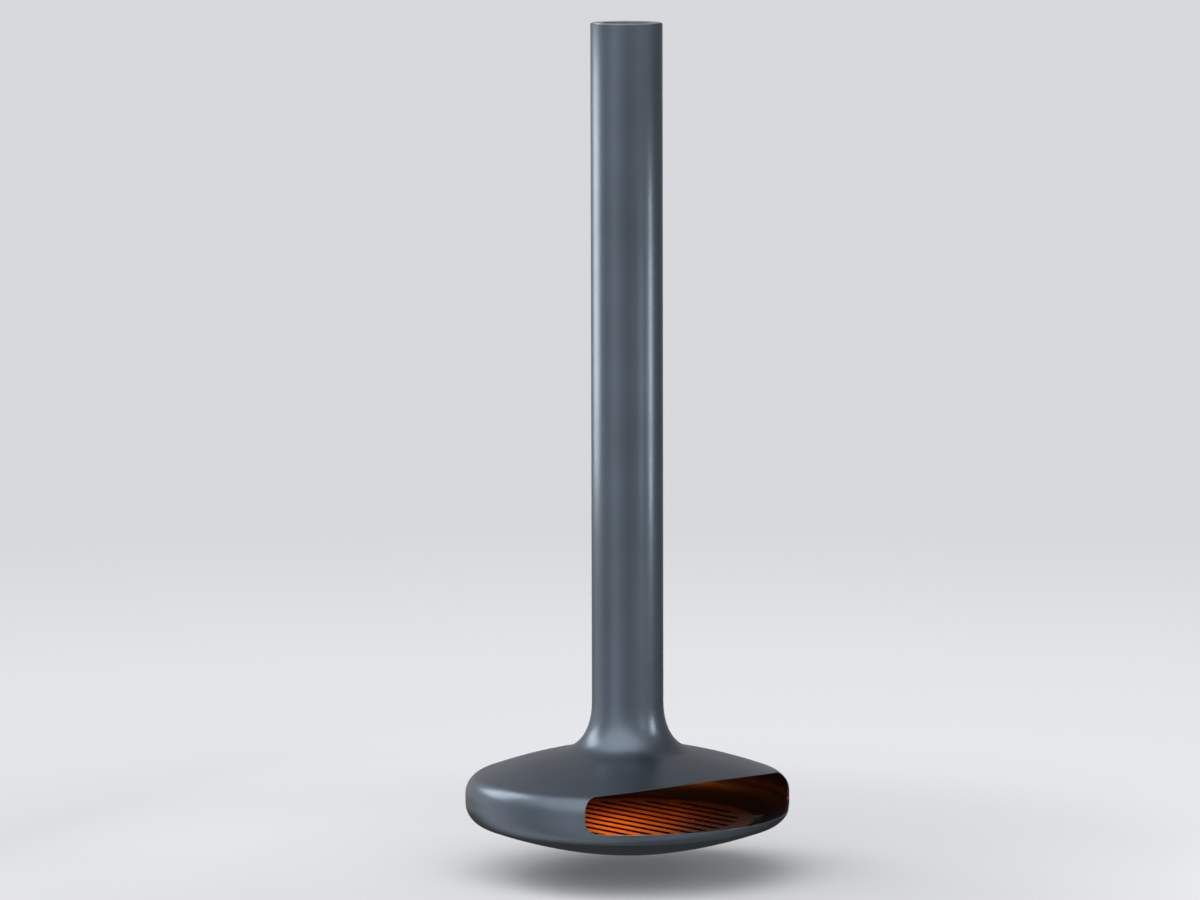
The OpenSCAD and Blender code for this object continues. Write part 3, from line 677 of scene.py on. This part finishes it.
# The dark field below and behind: its share of the walls' light, and where it fades in
UNDER_BACK = 0.15
UNDER_FADE = (-0.05, -0.30)
BACK_FADE = (0.45, 0.80)
# The walls' values go through a ramp that holds 0 to 1, so they are scaled down and up again
WALL_SCALE = 2.0
SKY = (250, 251, 255)


def add_world():
    """A studio with walls of uneven brightness, a bright field overhead and a dark one below and behind."""
    world = bpy.data.worlds.new("studio")
    scene.world = world
    world.use_nodes = True
    tree = world.node_tree

    def node(kind, **settings):
        made = tree.nodes.new(kind)
        for key, value in settings.items():
            setattr(made, key, value)
        return made

    def combined(operation, a, b):
        made = node("ShaderNodeMath", operation=operation)
        for target, value in zip(made.inputs, (a, b)):
            if isinstance(value, (int, float)):
                target.default_value = value
            else:
                tree.links.new(value, target)
        return made.outputs["Value"]

    def step(value, low, high):
        made = node("ShaderNodeMapRange", interpolation_type="SMOOTHSTEP")
        made.inputs["From Min"].default_value = low
        made.inputs["From Max"].default_value = high
        tree.links.new(value, made.inputs["Value"])
        return made.outputs["Result"]

    turned = node("ShaderNodeVectorRotate", rotation_type="Z_AXIS")
    turned.inputs["Angle"].default_value = -CAMERA_AZIMUTH
    tree.links.new(node("ShaderNodeTexCoord").outputs["Generated"], turned.inputs["Vector"])
    split = node("ShaderNodeSeparateXYZ")
    tree.links.new(turned.outputs["Vector"], split.inputs["Vector"])
    right, away, up = (split.outputs[axis] for axis in "XYZ")

    angle = combined("ARCTAN2", right, combined("MULTIPLY", away, -1))
    share = combined("ADD", combined("DIVIDE", angle, 2 * math.pi), 0.5)
    ramp = node("ShaderNodeValToRGB")
    ramp.color_ramp.interpolation = "EASE"
    stops = ramp.color_ramp.elements
    while len(stops) < len(WALLS):
        stops.new(0.5)
    for stop, (degrees, value) in zip(stops, WALLS):
        stop.position = (degrees + 180) / 360
        stop.color = (value / WALL_SCALE, value / WALL_SCALE, value / WALL_SCALE, 1)
    tree.links.new(share, ramp.inputs["Fac"])
    walls = combined("MULTIPLY", ramp.outputs["Color"], WALL_SCALE)

    hidden = combined("MULTIPLY", step(up, *UNDER_FADE), step(away, *BACK_FADE))
    dimming = combined("MULTIPLY", hidden, 1 - UNDER_BACK)
    walls = combined("MULTIPLY", walls, combined("SUBTRACT", 1.0, dimming))
    toward = node("ShaderNodeVectorMath", operation="DOT_PRODUCT")
    tree.links.new(turned.outputs["Vector"], toward.inputs[0])
    toward.inputs[1].default_value = OVERHEAD_TO
    overhead = step(toward.outputs["Value"], *OVERHEAD_FADE)
    bright = combined("MULTIPLY", overhead, OVERHEAD)
    level = combined("ADD", bright, combined("MULTIPLY", walls, combined("SUBTRACT", 1.0, overhead)))
    background = tree.nodes["Background"]
    background.inputs["Color"].default_value = (*linear(*SKY), 1)
    tree.links.new(level, background.inputs["Strength"])


add_camera()
add_floor()
add_world()
add_panel("left_window", -113, 2.6, -1.05, 1.4, 2.0, 4.2)
add_panel("right_strip", 80, 3.6, -1.6, 0.5, 1.3, 10.5)
add_panel("right_front", 45, 3.6, -1.7, 0.7, 1.0, 1.3)


def add_glow(name, shape, size, power, colour, spot):
    """Firelight inside the hearth, which turns with it."""
    data = bpy.data.lights.new(name, shape)
    if shape == "AREA":
        data.shape = "DISK"
        data.size = size
    else:
        data.shadow_soft_size = size
    data.energy = power
    data.color = colour
    made = bpy.data.objects.new(name, data)
    scene.collection.objects.link(made)
    made.location = spot
    made.visible_camera = False
    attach(made, "hearth")


FIRE = (1.0, 0.175, 0.004)
add_glow("fire_glow", "AREA", 0.44, 3.1, FIRE, (0.015, 0.05, RIM_Z + 0.10))
add_glow("ember_glow", "POINT", 0.10, 0.5, FIRE, (-0.167, -0.121, RIM_Z + 0.06))
add_glow("flame_glow", "POINT", 0.12, 1.5, FIRE, (0.05, 0.15, RIM_Z + 0.05))
add_glow("wall_glow", "POINT", 0.03, 0.04, FIRE, (0.40, 0.16, RIM_Z + 0.01))

scene.view_settings.view_transform = "Standard"
